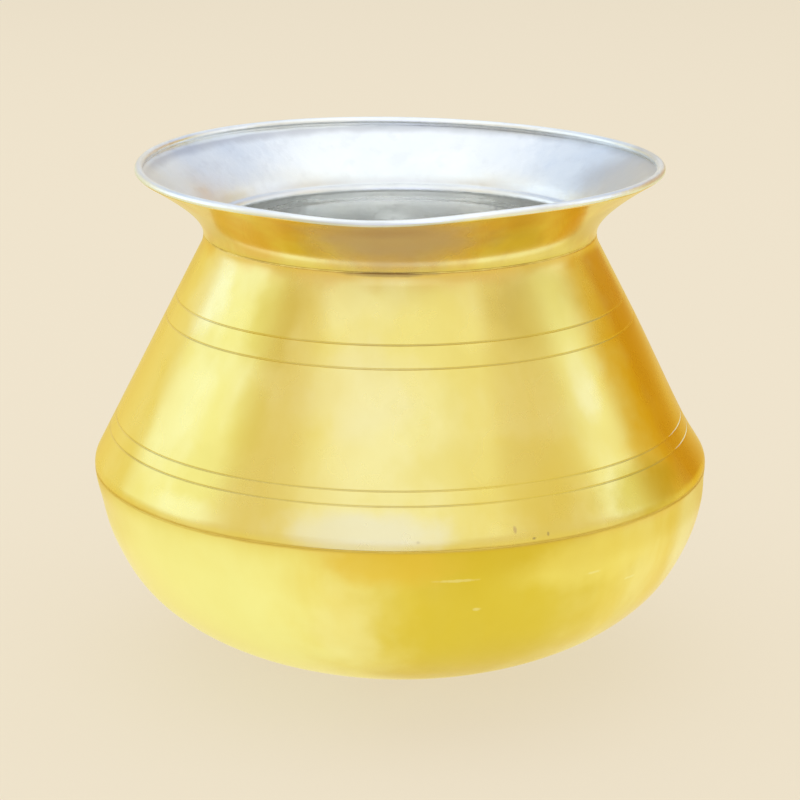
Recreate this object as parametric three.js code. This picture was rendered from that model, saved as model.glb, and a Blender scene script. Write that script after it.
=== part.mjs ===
// A tinned brass cooking pot: a raised bowl, a conical shoulder and a flared collar, lapped into
// each other and brazed, with a wired lip. Millimetres, +Z up. The origin is the centre of the
// underside of the base, and +Z is the axis that every piece is turned about.
// An outline is a list of (radius, height) points that goes up the outside of the pot.
import * as THREE from "three";

// Overall sizes
const HEIGHT = 250.6; // floor to the top of the tinned lip
const BELLY_DIAMETER = 300; // over the belly seam, the widest place
const NECK_DIAMETER = 190; // over the neck seam, the narrowest place
const MOUTH_DIAMETER = 254; // over the tinned lip
const BASE_DIAMETER = 62; // flat that the pot stands on
const BELLY_HEIGHT = 102.1; // middle of the belly seam
const NECK_HEIGHT = 215.3; // middle of the neck seam

// Sheet, wire and coating
const BOWL_WALL = 1.4;
const SHOULDER_WALL = 1.2;
const COLLAR_WALL = 0.9;
const WIRE_DIAMETER = 1.7;
const TIN_FILM = 0.2; // thicker than a real coat, so that it is a solid

// Clearances
const LAP_GAP = 0.1; // between two lapped sheets
const WIRE_GAP = 0.1; // between the wire and the lip rolled round it
const TIN_GAP = 0.05; // between the tin and the brass under it
const BRAZE_GAP = 0.05; // between a braze ring and the sheets that it joins
const SLIT = 0.3; // between the end of the rolled lip and the flare
const TIN_CORNER = 0.5; // height over which the tin crosses between a sheet's edge and the next face

// Seams: the lower sheet steps in below the upper sheet's edge, and braze fills the notch
const SEAM_NOTCH = 1; // height of the notch
const BRAZE_SINK = 0.25; // how far the braze lies under the outside of the sheets
const NECK_LAP = 4; // how far the shoulder goes up inside the collar
const BELLY_UPRIGHT = 0.5; // upright stretch of the shoulder above its lower edge

// Bends and curves
const BELLY_BEND = 10; // outside radius where the shoulder turns down to the belly seam
const NECK_BEND = 12; // outside radius where the shoulder turns up to the neck seam
const BOWL_TOP_LEAN = radians(5.5); // inwards lean of the bowl under the belly seam
const BOWL_TOP_PULL = 58.8; // length of the upper handle of the bowl's curve
const BOWL_BASE_RISE = radians(14); // rise of the bowl where it leaves the flat base
const BOWL_BASE_PULL = 92.8; // length of the lower handle of the bowl's curve
const FLARE_FOOT_PULL = 10.5; // length of the lower handle of the flare's curve
const FLARE_LIP_RISE = radians(32); // rise of the flare where the lip's roll begins
const FLARE_LIP_PULL = 12.5; // length of the upper handle of the flare's curve

// Incised lines round the shoulder
const LINE_WIDTH = 0.9;
const LINE_DEPTH = 0.3;
const LINES_UNDER_NECK = [29.7, 39.5]; // below the middle of the neck seam
const LINES_OVER_BELLY = [18.5, 24.6]; // above the middle of the belly seam

// Where the tin stops on the outside of the lip's roll, from level with its middle
const TIN_EDGE = radians(-20);

// Facets
const SEGMENTS = 40; // round the axis
const BOWL_STEPS = 11;
const BEND_STEPS = 2;
const FLARE_STEPS = 7;
const BARE_ROLL_STEPS = 1;
const TINNED_ROLL_STEPS = 3; // on each side of the lip's top
const ROLL_CAVITY_STEPS = 8;
const WIRE_SIDES = 8;

// Sizes that follow from those above
const bellyRadius = BELLY_DIAMETER / 2;
const neckRadius = NECK_DIAMETER / 2;
const rollRadius = WIRE_DIAMETER / 2 + WIRE_GAP + COLLAR_WALL;
const tinnedRollRadius = rollRadius + TIN_GAP + TIN_FILM;
const roll = point(MOUTH_DIAMETER / 2 - tinnedRollRadius, HEIGHT - tinnedRollRadius);
const shoulderFoot = point(bellyRadius, BELLY_HEIGHT + SEAM_NOTCH / 2);
const bellyBendCentre = point(bellyRadius - BELLY_BEND, shoulderFoot.y + BELLY_UPRIGHT);
const neckBendCentre = point(neckRadius + NECK_BEND, NECK_HEIGHT - SEAM_NOTCH / 2);
const shoulderLean = leanBetweenBends();
const bellyStep = step(bellyRadius, BELLY_HEIGHT, SHOULDER_WALL);
const neckStep = step(neckRadius, NECK_HEIGHT, COLLAR_WALL);
const rollStart = FLARE_LIP_RISE - Math.PI / 2;
const rollEnd = Math.PI + Math.asin((rollRadius - COLLAR_WALL - SLIT) / rollRadius) + FLARE_LIP_RISE;

function radians(degrees) {
  return THREE.MathUtils.degToRad(degrees);
}

function point(radius, height) {
  return new THREE.Vector2(radius, height);
}

// The unit vector at an angle above level.
function heading(angle) {
  return point(Math.cos(angle), Math.sin(angle));
}

// Points on an arc, both ends included. Angles are measured from level, outwards.
function arc(centre, radius, from, to, steps) {
  return Array.from({ length: steps + 1 }, (_, i) =>
    heading(from + ((to - from) * i) / steps).multiplyScalar(radius).add(centre),
  );
}

// Points on a cubic curve that leaves `start` along `leave` and arrives at `end` along `arrive`.
function sweep(start, leave, leavePull, end, arrive, arrivePull, steps) {
  const curve = new THREE.CubicBezierCurve(
    start,
    start.clone().addScaledVector(leave, leavePull),
    end.clone().addScaledVector(arrive, -arrivePull),
    end,
  );
  return curve.getPoints(steps);
}

// The outline moved sideways by one distance, towards the inside of the pot, with mitred corners.
function inwards(outline, distance) {
  const normals = outline.slice(1).map((p, i) => {
    const along = p.clone().sub(outline[i]).normalize();
    return point(-along.y, along.x);
  });
  return outline.map((p, i) => {
    const before = normals[Math.max(i - 1, 0)];
    const after = normals[Math.min(i, normals.length - 1)];
    const mitre = before.clone().add(after);
    return p.clone().addScaledVector(mitre, (2 * distance) / mitre.lengthSq());
  });
}

// The point of a line at a given height.
function atHeight(line, height) {
  const i = line.findIndex((p, k) => k > 0 && p.y >= height);
  const share = (height - line[i - 1].y) / (line[i].y - line[i - 1].y);
  return line[i - 1].clone().lerp(line[i], share);
}

// The stretch of a rising line between two heights, both ends included.
function between(line, low, high) {
  const middle = line.filter((p) => p.y > low && p.y < high);
  return [atHeight(line, low), ...middle, atHeight(line, high)];
}

// The lean from upright of the straight line that touches both bends of the shoulder.
function leanBetweenBends() {
  const across = neckBendCentre.clone().sub(bellyBendCentre);
  return across.angle() - Math.acos((BELLY_BEND + NECK_BEND) / across.length());
}

// The step of a sheet inwards, clear of the edge of the sheet that laps over it.
function step(radius, seamHeight, upperWall) {
  const foot = point(radius, seamHeight - SEAM_NOTCH / 2);
  const top = point(radius - upperWall - LAP_GAP, seamHeight + SEAM_NOTCH / 2 - LAP_GAP);
  return { foot, top };
}

function bowlOutline() {
  const { foot, top } = bellyStep;
  const side = sweep(
    point(BASE_DIAMETER / 2, 0),
    heading(BOWL_BASE_RISE),
    BOWL_BASE_PULL,
    foot,
    heading(Math.PI / 2 - BOWL_TOP_LEAN),
    BOWL_TOP_PULL,
    BOWL_STEPS,
  );
  const lap = inwards(bellyBend(), SHOULDER_WALL + LAP_GAP);
  return [...side, top, ...lap.slice(1)];
}

// A notch cut into the straight of the shoulder, its middle at the given height.
function incisedLine(start, along, height) {
  const middle = start.clone().addScaledVector(along, (height - start.y) / along.y);
  const inner = point(-along.y, along.x);
  return [
    middle.clone().addScaledVector(along, -LINE_WIDTH / 2),
    middle.clone().addScaledVector(inner, LINE_DEPTH),
    middle.clone().addScaledVector(along, LINE_WIDTH / 2),
  ];
}

// The shoulder from its lower edge to the end of its bend at the belly.
function bellyBend() {
  return [shoulderFoot, ...arc(bellyBendCentre, BELLY_BEND, 0, shoulderLean, BEND_STEPS)];
}

// The shoulder from the start of its bend at the neck to its upper edge.
function neckBend() {
  const bend = arc(neckBendCentre, NECK_BEND, Math.PI + shoulderLean, Math.PI, BEND_STEPS);
  return [...bend, neckStep.top, point(neckStep.top.x, NECK_HEIGHT + NECK_LAP)];
}

// The shoulder's plain outline, which its inside follows.
function shoulderOutline() {
  return [...bellyBend(), ...neckBend()];
}

// The shoulder's outside, with its incised lines.
function shoulderOutside() {
  const belly = bellyBend();
  const neck = neckBend();
  const start = belly.at(-1);
  const along = neck[0].clone().sub(start).normalize();
  const heights = [
    ...LINES_OVER_BELLY.map((rise) => BELLY_HEIGHT + rise),
    ...LINES_UNDER_NECK.map((drop) => NECK_HEIGHT - drop),
  ].sort((a, b) => a - b);
  return [...belly, ...heights.flatMap((h) => incisedLine(start, along, h)), ...neck];
}

// The collar's outside, which leaves its lower edge upright and meets the lip's roll without a
// kink. The collar's inside follows it.
function flare() {
  return sweep(
    point(neckRadius, NECK_HEIGHT + SEAM_NOTCH / 2),
    heading(Math.PI / 2),
    FLARE_FOOT_PULL,
    heading(rollStart).multiplyScalar(rollRadius).add(roll),
    heading(FLARE_LIP_RISE),
    FLARE_LIP_PULL,
    FLARE_STEPS,
  );
}

// The part of the roll's outside that the tin covers, from the tin's edge over the top to the
// sheet's end.
function tinnedRoll() {
  const outer = arc(roll, rollRadius, TIN_EDGE, Math.PI / 2, TINNED_ROLL_STEPS);
  const inner = arc(roll, rollRadius, Math.PI / 2, rollEnd, TINNED_ROLL_STEPS);
  return [...outer, ...inner.slice(1)];
}

function collarSection() {
  const bareRoll = arc(roll, rollRadius, rollStart, TIN_EDGE, BARE_ROLL_STEPS);
  const cavity = arc(roll, rollRadius - COLLAR_WALL, rollEnd, rollStart, ROLL_CAVITY_STEPS);
  const inside = inwards(flare(), COLLAR_WALL).slice(0, -1).reverse();
  const outside = [...flare().slice(0, -1), ...bareRoll.slice(0, -1)];
  return [...outside, ...tinnedRoll(), ...cavity, ...inside];
}

// The ring of braze in the notch over a step: it has one face to the air.
function brazeSection({ foot, top }) {
  const slope = (top.y - foot.y) / (foot.x - top.x);
  const lift = BRAZE_GAP * Math.hypot(1, slope);
  return [
    point(foot.x - BRAZE_SINK, foot.y + BRAZE_SINK * slope + lift),
    point(foot.x - BRAZE_SINK, top.y),
    point(top.x + lift / slope, top.y),
  ];
}

// The line that the tin lies on, from the middle of the bowl to where the tin ends on the lip.
function wettedLine() {
  const bowl = inwards(bowlOutline(), BOWL_WALL);
  const bowlEdge = bowlOutline().at(-1);
  const shoulder = inwards(shoulderOutline(), SHOULDER_WALL);
  const shoulderEdge = shoulderOutline().at(-1);
  const collar = inwards(flare(), COLLAR_WALL);
  const lip = tinnedRoll().reverse();
  return [
    point(0, BOWL_WALL),
    ...bowl,
    bowlEdge,
    ...between(shoulder, bowlEdge.y + TIN_CORNER, shoulderEdge.y),
    shoulderEdge,
    ...between(collar, shoulderEdge.y + TIN_CORNER, lip[0].y - TIN_CORNER),
    ...lip,
  ];
}

function tinSection() {
  const line = wettedLine();
  const outer = inwards(line, TIN_GAP);
  const inner = inwards(line, TIN_GAP + TIN_FILM);
  outer[0].x = 0;
  inner[0].x = 0;
  return [...outer, ...inner.reverse()];
}

// A solid turned from a section. A section that doesn't lie on the axis is closed on itself.
function turned(name, section, material) {
  const onAxis = section[0].x === 0;
  const outline = onAxis ? section : [...section, section[0].clone()];
  const mesh = new THREE.Mesh(new THREE.LatheGeometry(outline, SEGMENTS), material);
  mesh.name = name;
  mesh.rotation.x = Math.PI / 2;
  return mesh;
}

// A sheet between its outside and its inside, both going up.
function sheet(outside, inside) {
  return [...outside, ...inside.slice().reverse()];
}

const brass = new THREE.MeshStandardMaterial({ color: 0xd9b23c, roughness: 0.28, metalness: 1 });
const bowlBrass = new THREE.MeshStandardMaterial({ color: 0xdcb94a, roughness: 0.38, metalness: 1 });
const wireBrass = new THREE.MeshStandardMaterial({ color: 0xc9a545, roughness: 0.4, metalness: 1 });
const braze = new THREE.MeshStandardMaterial({ color: 0x8f7a3c, roughness: 0.55, metalness: 1 });
const tin = new THREE.MeshStandardMaterial({ color: 0xc9cacd, roughness: 0.45, metalness: 1 });

const bowlOutside = [point(0, 0), ...bowlOutline()];
const bowlInside = [point(0, BOWL_WALL), ...inwards(bowlOutline(), BOWL_WALL)];
const shoulderInside = inwards(shoulderOutline(), SHOULDER_WALL);
const wireSection = arc(roll, WIRE_DIAMETER / 2, 0, 2 * Math.PI, WIRE_SIDES).slice(0, -1);

const pot = new THREE.Group();
pot.add(
  turned("lower_bowl", sheet(bowlOutside, bowlInside), bowlBrass),
  turned("upper_shoulder", sheet(shoulderOutside(), shoulderInside), brass),
  turned("mouth_collar", collarSection(), brass),
  turned("rim_wire", wireSection, wireBrass),
  turned("belly_braze_ring", brazeSection(bellyStep), braze),
  turned("neck_braze_ring", brazeSection(neckStep), braze),
  turned("tin_lining", tinSection(), tin),
);

export default pot;
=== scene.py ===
"""A tinned brass cooking pot: a raised bowl, a conical shoulder and a flared collar.

The three brass shells step in and go up inside each other at a belly seam and a neck seam, where
they are brazed. The collar's lip is rolled over a wire, and tin coats the inside and the lip.

Outlines are lists of (radius, height) points in millimetres that go up the outside of the pot.
Meshes are in metres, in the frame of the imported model, with +Z up the pot's axis.
"""

import logging
import math
from collections.abc import Callable, Sequence
from dataclasses import dataclass
from enum import Enum
from functools import cached_property

import bmesh
import bpy
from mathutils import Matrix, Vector, geometry, noise


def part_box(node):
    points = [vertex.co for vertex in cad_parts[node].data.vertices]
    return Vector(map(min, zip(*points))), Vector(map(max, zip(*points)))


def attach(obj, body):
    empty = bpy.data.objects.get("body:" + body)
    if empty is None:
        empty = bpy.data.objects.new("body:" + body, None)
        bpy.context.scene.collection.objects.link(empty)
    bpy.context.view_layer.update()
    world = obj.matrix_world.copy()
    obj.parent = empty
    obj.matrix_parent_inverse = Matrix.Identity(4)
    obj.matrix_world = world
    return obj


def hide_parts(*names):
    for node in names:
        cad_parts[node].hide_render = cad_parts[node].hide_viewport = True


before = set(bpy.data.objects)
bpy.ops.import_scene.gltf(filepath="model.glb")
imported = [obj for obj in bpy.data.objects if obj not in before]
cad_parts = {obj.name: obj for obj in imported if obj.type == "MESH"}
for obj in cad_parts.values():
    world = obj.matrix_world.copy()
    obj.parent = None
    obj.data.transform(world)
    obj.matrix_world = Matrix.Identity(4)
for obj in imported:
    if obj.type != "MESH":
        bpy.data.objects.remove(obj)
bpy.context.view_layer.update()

LOG = logging.getLogger("cooking_pot")
BODY = "root"
METRE = 1000.0
SEGMENTS = 432
AXIS_RADIUS = 1e-4
SHARP_TURN = math.radians(18)
DOUBLED_BACK = math.radians(178)
CORNER_STEPS = 4
CORNER_REACH = 0.45
QUARTER_TURN = 0.25

Outline = list[Vector]
Colour = tuple[float, float, float]


def heading(angle: float) -> Vector:
    """The unit vector at an angle above level."""
    return Vector((math.cos(angle), math.sin(angle)))


def leftward(along: Vector) -> Vector:
    """The direction a quarter turn to the left of another, which is inwards on the way up."""
    return Vector((-along.y, along.x))


def arc(centre: Vector, radius: float, start: float, end: float, step: float) -> Outline:
    """Points on an arc, both ends included.

    Args:
        centre: The middle of the arc.
        radius: Its radius.
        start: The angle from level where it begins, in radians.
        end: The angle from level where it ends, in radians.
        step: The most that two points may lie apart.

    Returns:
        The points, from start to end.
    """
    return arc_in_steps(centre, radius, start, end, max(2, math.ceil(abs(end - start) * radius / step)))


def arc_in_steps(centre: Vector, radius: float, start: float, end: float, count: int) -> Outline:
    """Points on an arc, both ends included, in a given number of steps.

    Args:
        centre: The middle of the arc.
        radius: Its radius.
        start: The angle from level where it begins, in radians.
        end: The angle from level where it ends, in radians.
        count: How many steps it has.

    Returns:
        The points, from start to end.
    """
    return [centre + radius * heading(start + (end - start) * i / count) for i in range(count + 1)]


def sweep(
    start: Vector,
    leave: float,
    leave_pull: float,
    end: Vector,
    arrive: float,
    arrive_pull: float,
    step: float,
) -> Outline:
    """Points on a cubic curve between two places.

    Args:
        start: Where the curve begins.
        leave: The angle at which it leaves, in radians above level.
        leave_pull: The length of its first handle.
        end: Where the curve ends.
        arrive: The angle at which it arrives, in radians above level.
        arrive_pull: The length of its second handle.
        step: About how far two points lie apart.

    Returns:
        The points, from start to end.
    """
    count = max(4, math.ceil((end - start).length / step) + 1)
    handles = start + leave_pull * heading(leave), end - arrive_pull * heading(arrive)
    flat = geometry.interpolate_bezier(
        start.to_3d(), handles[0].to_3d(), handles[1].to_3d(), end.to_3d(), count
    )
    return [p.to_2d() for p in flat]


def inwards(outline: Outline, distance: float) -> Outline:
    """The outline moved sideways, towards the inside of the pot, with mitred corners.

    Args:
        outline: The points, going up the outside.
        distance: How far each stretch moves.

    Returns:
        As many points as the outline has.
    """
    normals = [leftward((b - a).normalized()) for a, b in zip(outline, outline[1:])]
    moved = []
    for i, p in enumerate(outline):
        mitre = normals[max(i - 1, 0)] + normals[min(i, len(normals) - 1)]
        moved.append(p + mitre * (2 * distance / mitre.length_squared))
    return moved


def at_height(line: Outline, height: float) -> Vector:
    """The point of a rising line at a given height.

    Args:
        line: The points, each higher than the one before.
        height: A height between its ends.

    Returns:
        The point, between two of the line's own or at one.
    """
    i = next(k for k in range(1, len(line)) if line[k].y >= height)
    share = (height - line[i - 1].y) / (line[i].y - line[i - 1].y)
    return line[i - 1].lerp(line[i], share)


def between(line: Outline, low: float, high: float) -> Outline:
    """The stretch of a rising line between two heights, both ends included."""
    return [at_height(line, low), *[p for p in line if low < p.y < high], at_height(line, high)]


def eased(outline: Outline, radius: float, closed: bool = False) -> Outline:
    """The outline with its sharp corners rounded off.

    Args:
        outline: The points, of which those on smooth stretches turn by little.
        radius: The radius of a rounded corner, less where its sides are too short for it.
        closed: Whether the last point is followed by the first.

    Returns:
        The rounded outline.
    """
    rounded: Outline = []
    for i, p in enumerate(outline):
        if not closed and i in (0, len(outline) - 1):
            rounded.append(p)
            continue
        before, after = outline[i - 1], outline[(i + 1) % len(outline)]
        arriving, leaving = p - before, after - p
        turn = abs(arriving.angle_signed(leaving))
        if turn < SHARP_TURN or turn > DOUBLED_BACK:
            rounded.append(p)
            continue
        shortest = min(arriving.length, leaving.length)
        cut = min(radius * math.tan(turn / 2), CORNER_REACH * shortest)
        first = p - cut * arriving.normalized()
        last = p + cut * leaving.normalized()
        for k in range(CORNER_STEPS + 1):
            t = k / CORNER_STEPS
            rounded.append(first.lerp(p, t).lerp(p.lerp(last, t), t))
    return rounded


def refined(outline: Outline, step: float) -> Outline:
    """The outline with points added, so that no two neighbours lie more than a step apart.

    Args:
        outline: The points.
        step: The most that two neighbours may lie apart.

    Returns:
        The outline's own points and those added between them.
    """
    points = [outline[0]]
    for a, b in zip(outline, outline[1:]):
        count = max(1, math.ceil((b - a).length / step))
        points += [a.lerp(b, k / count) for k in range(1, count + 1)]
    return points


def smooth_share(value: float, low: float, high: float) -> float:
    """How far a value has come from one limit to another, from 0 to 1, eased at both ends."""
    t = min(1.0, max(0.0, (value - low) / (high - low)))
    return t * t * (3 - 2 * t)


def nearest_turn(angle: float) -> float:
    """The same direction as an angle in radians, from half a turn to the right to half to the left."""
    return (angle + math.pi) % (2 * math.pi) - math.pi


def placed(name: str, data: bpy.types.ID) -> bpy.types.Object:
    """Puts a new object into the scene's collection.

    Args:
        name: The object's name.
        data: Its mesh, light or camera.

    Returns:
        The object.
    """
    made = bpy.data.objects.new(name, data)
    bpy.context.scene.collection.objects.link(made)
    return made


@dataclass(frozen=True)
class HandWork:
    """What hammering and spinning leave in the sheet, alike in every layer at one place.

    Every point moves towards the middle of the pot, and the bowl a little to the right as well.
    Nothing leaves the box of the turned pot.
    """

    middle_height: float = 110.0
    wave_length: float = 24.0
    wave_share: float = 0.75
    ripple_scale: float = 0.4
    ripple_start: tuple[float, float, float] = (7.0, 3.0, 1.0)
    wave_depths: tuple[tuple[float, float], ...] = (
        (6, 0.0),
        (24, 0.11),
        (92, 0.11),
        (104, 0.05),
        (207, 0.05),
        (217, 0.09),
        (244, 0.06),
    )
    out_of_round: float = 0.35
    oval_turn: float = 0.8
    oval_rise: tuple[float, float] = (10.0, 70.0)
    neck_height: float = 217.0
    lip_height: float = 250.6
    lip_drop: float = 1.4
    lip_waves: tuple[tuple[int, float, float], ...] = ((1, 0.25, -0.25), (2, -0.2, 0.98))
    dent_at: float = math.radians(-95)
    dent_width: float = math.radians(19)
    dent_depth: float = 2.85
    dent_foot: float = 234.0
    shoulder_flat: float = 1.5
    shoulder_flat_width: float = math.radians(55)
    flat_rise: tuple[float, float] = (103.0, 122.0)
    flat_fall: tuple[float, float] = (122.0, 178.0)
    bowl_draw: float = 0.8
    draw_rise: tuple[float, float] = (18.0, 38.0)
    draw_fall: tuple[float, float] = (58.0, 80.0)
    bowl_shift: float = 1.1
    shift_fall: tuple[float, float] = (85.0, 100.0)

    def wave_depth(self, height: float) -> float:
        """How deep the waves are.

        Args:
            height: The height on the pot, in millimetres.

        Returns:
            The depth in millimetres.
        """
        for (low, low_depth), (high, high_depth) in zip(self.wave_depths, self.wave_depths[1:]):
            if height < high:
                return low_depth + (high_depth - low_depth) * smooth_share(height, low, high)
        return self.wave_depths[-1][1]

    def moved(self, point: Vector, angle: float) -> Vector:
        """Where a point of a section ends up at an angle round the axis.

        Args:
            point: The point's radius and height, in millimetres.
            angle: The angle round the axis, in radians.

        Returns:
            The place in metres.
        """
        around = Vector((math.cos(angle), math.sin(angle), 0))
        place = around * point.x + Vector((0, 0, point.y))
        waves = 0.5 + 0.5 * noise.noise(place / self.wave_length)
        ripple_place = place / (self.ripple_scale * self.wave_length) + Vector(self.ripple_start)
        ripples = 0.5 + 0.5 * noise.noise(ripple_place)
        depth = self.wave_depth(point.y) * (self.wave_share * waves + (1 - self.wave_share) * ripples)
        oval = self.out_of_round * (0.5 - 0.5 * math.cos(2 * angle + self.oval_turn))
        inward = Vector((0, 0, self.middle_height)) - place
        place += inward.normalized() * depth
        place -= around * min(oval * smooth_share(point.y, *self.oval_rise), point.x)
        place -= around * min(self.drawn_in(point.y, angle), point.x)
        place.x += self.bowl_shift * (1 - smooth_share(point.y, *self.shift_fall))
        place.z -= self.lowered(point.y, angle)
        return place / METRE

    def drawn_in(self, height: float, angle: float) -> float:
        """How far the hammer drew a point in, low on the shoulder's right and round the bowl.

        Args:
            height: The height on the pot, in millimetres.
            angle: The angle round the axis, in radians.

        Returns:
            The distance in millimetres.
        """
        flat = self.shoulder_flat * math.exp(-((nearest_turn(angle) / self.shoulder_flat_width) ** 2))
        flat *= smooth_share(height, *self.flat_rise) * (1 - smooth_share(height, *self.flat_fall))
        drawn = self.bowl_draw * smooth_share(height, *self.draw_rise)
        return flat + drawn * (1 - smooth_share(height, *self.draw_fall))

    def lowered(self, height: float, angle: float) -> float:
        """How far the bent mouth brings a point down from its turned place.

        Args:
            height: The height on the pot, in millimetres.
            angle: The angle round the axis, in radians.

        Returns:
            The distance in millimetres.
        """
        lowering = self.lip_drop
        for turns, with_cosine, with_sine in self.lip_waves:
            lowering += with_cosine * math.cos(turns * angle) + with_sine * math.sin(turns * angle)
        away = nearest_turn(angle - self.dent_at)
        dent = self.dent_depth * math.exp(-((away / self.dent_width) ** 2))
        lowering *= smooth_share(height, self.neck_height, self.lip_height)
        return lowering + dent * smooth_share(height, self.dent_foot, self.lip_height)


def turned(name: str, section_at: Callable[[float], Outline], hand: HandWork) -> bpy.types.Object:
    """Turns a section about the axis into one closed body.

    Args:
        name: The piece's name.
        section_at: Gives the section at an angle round the axis: it goes up the outside and down
            the inside, always with as many points, and either lies on the axis at both ends or
            is closed on itself.
        hand: How hand work moves each point.

    Returns:
        The new object, with smooth faces.
    """
    angles = [2 * math.pi * k / SEGMENTS for k in range(SEGMENTS)]
    sections = [section_at(angle) for angle in angles]
    mesh = bmesh.new()
    rings = []
    for row, first in enumerate(sections[0]):
        count = 1 if first.x < AXIS_RADIUS else SEGMENTS
        rings.append([mesh.verts.new(hand.moved(sections[k][row], angles[k])) for k in range(count)])
    pairs = list(zip(rings, rings[1:]))
    if len(rings[0]) > 1:
        pairs.append((rings[-1], rings[0]))
    for low, high in pairs:
        for k in range(SEGMENTS):
            n = (k + 1) % SEGMENTS
            corners = [low[k % len(low)], low[n % len(low)], high[n % len(high)], high[k % len(high)]]
            corners = list(dict.fromkeys(corners))
            if len(corners) > 2:
                mesh.faces.new(corners).smooth = True
    data = bpy.data.meshes.new(name)
    mesh.to_mesh(data)
    mesh.free()
    return placed(name, data)


class Link:
    """Places and joins the nodes of one node tree."""

    def __init__(self, tree: bpy.types.NodeTree) -> None:
        """Takes the tree that the nodes go into."""
        self.tree = tree

    @classmethod
    def cleared(cls, owner: bpy.types.Material | bpy.types.World) -> "Link":
        """Empties the node tree of a material or a world.

        Args:
            owner: The material or the world.

        Returns:
            Its nodes.
        """
        owner.use_nodes = True
        owner.node_tree.nodes.clear()
        return cls(owner.node_tree)

    def node(self, kind: str, inputs: dict | None = None, **settings: object) -> bpy.types.Node:
        """Adds a node.

        Args:
            kind: The node's type, without "ShaderNode".
            inputs: Values or sockets for its inputs, by name or number.
            settings: Values for the node's own settings.

        Returns:
            The node.
        """
        made = self.tree.nodes.new("ShaderNode" + kind)
        for name, value in settings.items():
            setattr(made, name, value)
        for key, value in (inputs or {}).items():
            self.feed(made.inputs[key], value)
        return made

    def feed(self, socket: bpy.types.NodeSocket, value: object) -> None:
        """Joins a socket to another, or sets its value.

        Args:
            socket: The input.
            value: The output that it takes, or a number, vector or colour.
        """
        if isinstance(value, bpy.types.NodeSocket):
            self.tree.links.new(value, socket)
        elif socket.type == "RGBA" and len(value) == 3:
            socket.default_value = (*value, 1.0)
        else:
            socket.default_value = value

    def maths(self, operation: str, *values: object, clamp: bool = False) -> bpy.types.NodeSocket:
        """The result of a Math node on sockets and numbers."""
        made = self.node("Math", dict(enumerate(values)), operation=operation, use_clamp=clamp)
        return made.outputs[0]

    def vector(self, operation: str, *values: object) -> bpy.types.NodeSocket:
        """The result of a Vector Math node.

        Args:
            operation: What the node does.
            values: Sockets and vectors, in the order of its inputs.

        Returns:
            Its number where the operation gives one, or else its vector.
        """
        made = self.node("VectorMath", operation=operation)
        for i, value in enumerate(values):
            socket = made.inputs["Scale"] if operation == "SCALE" and i == 1 else made.inputs[i]
            self.feed(socket, value)
        return made.outputs["Value" if operation in ("LENGTH", "DISTANCE", "DOT_PRODUCT") else "Vector"]

    def shrunk(self, vector: object, size: object) -> bpy.types.NodeSocket:
        """A vector divided by a size."""
        return self.vector("SCALE", vector, self.maths("DIVIDE", 1.0, size))

    def mix(self, share: object, under: object, over: object) -> bpy.types.NodeSocket:
        """The colour that a Mix node makes of two colours."""
        return self.node("Mix", {0: share, 6: under, 7: over}, data_type="RGBA").outputs[2]

    def ramp(
        self, value: object, low: object, high: object, start: object = 0.0, end: object = 1.0
    ) -> bpy.types.NodeSocket:
        """A value eased from the range of low to high to the range of start to end."""
        inputs = dict(enumerate((value, low, high, start, end)))
        return self.node("MapRange", inputs, interpolation_type="SMOOTHSTEP").outputs[0]

    def noise(
        self, vector: object, seed: object, detail: float = 2.0, roughness: float = 0.5
    ) -> bpy.types.NodeSocket:
        """The value of a noise in four dimensions.

        Args:
            vector: The first three.
            seed: The fourth.
            detail: How many finer layers are added.
            roughness: How much of each finer layer.

        Returns:
            The value, from 0 to 1.
        """
        made = self.node(
            "TexNoise",
            {"Vector": vector, "W": seed, "Scale": 1.0, "Detail": detail, "Roughness": roughness},
            noise_dimensions="4D",
        )
        return made.outputs["Fac"]


class Effect(Enum):
    """Surface effects that several finishes share. Lengths are in millimetres."""

    TURNING_MARKS = "turning_marks"
    CLOUDS = "clouds"
    SEAM_BAND = "seam_band"
    PATCH = "patch"
    SCUFFS = "scuffs"
    SPECKS = "specks"


@dataclass(frozen=True)
class PotPlace:
    """Where a point lies on the pot, in millimetres.

    Its place, the level part of it, its radius and height, and its direction from the axis.
    """

    place: bpy.types.NodeSocket
    level: bpy.types.NodeSocket
    radius: bpy.types.NodeSocket
    height: bpy.types.NodeSocket
    around: bpy.types.NodeSocket

    @classmethod
    def read(cls, link: Link) -> "PotPlace":
        """Adds the nodes that find a point's place.

        Args:
            link: The nodes of a material or a group.

        Returns:
            What they find.
        """
        place = link.vector("SCALE", link.node("TexCoord").outputs["Object"], METRE)
        parts = link.node("SeparateXYZ", {0: place})
        level = link.vector("MULTIPLY", place, Vector((1, 1, 0)))
        around = link.vector("NORMALIZE", level)
        return cls(place, level, link.vector("LENGTH", level), parts.outputs[2], around)


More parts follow.
